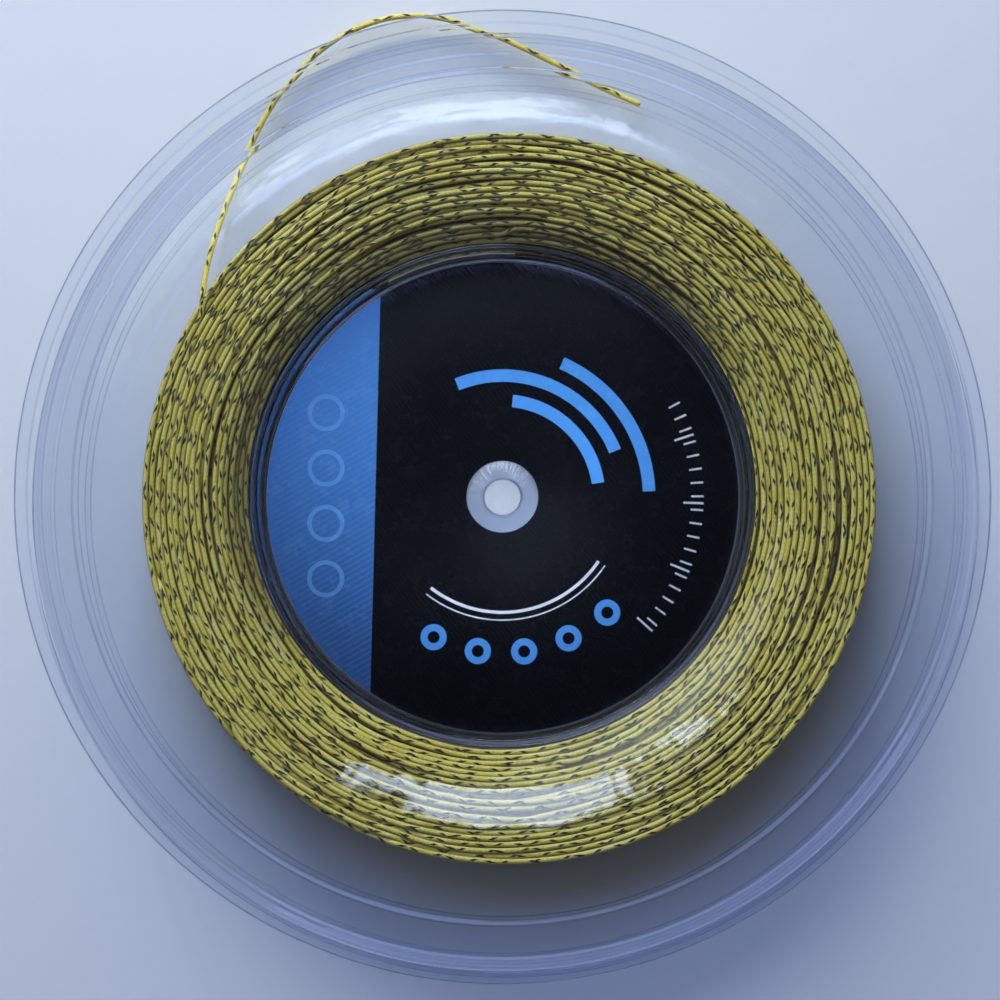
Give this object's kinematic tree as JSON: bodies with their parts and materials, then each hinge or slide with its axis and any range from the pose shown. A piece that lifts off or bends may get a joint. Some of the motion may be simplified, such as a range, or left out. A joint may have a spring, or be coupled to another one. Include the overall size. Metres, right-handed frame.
{
  "type": "string reel",
  "caption": "Clear flanged reel of braided racket string with a recessed hub, a disc label, a spindle hole and a loose string end.",
  "frame": {"origin": "centre of the ring of the rear rim, on the surface that the reel lies on", "axes": "+Z along the spindle hole, from the rear rim to the labelled front; +Y towards the top of the label; +X to its right"},
  "size_m": [0.2, 0.2037, 0.026],
  "materials": {
    "clear_shell": "polished",
    "label_print": "gloss",
    "string_braid": "satin",
    "anchor_tape": "satin"
  },
  "bodies": {
    "root": {"front_half": "clear_shell", "rear_half": "clear_shell", "front_label": "label_print", "string_winding": "string_braid", "string_loose_end": "string_braid", "anchor_tape": "anchor_tape"}
  },
  "joints": []
}
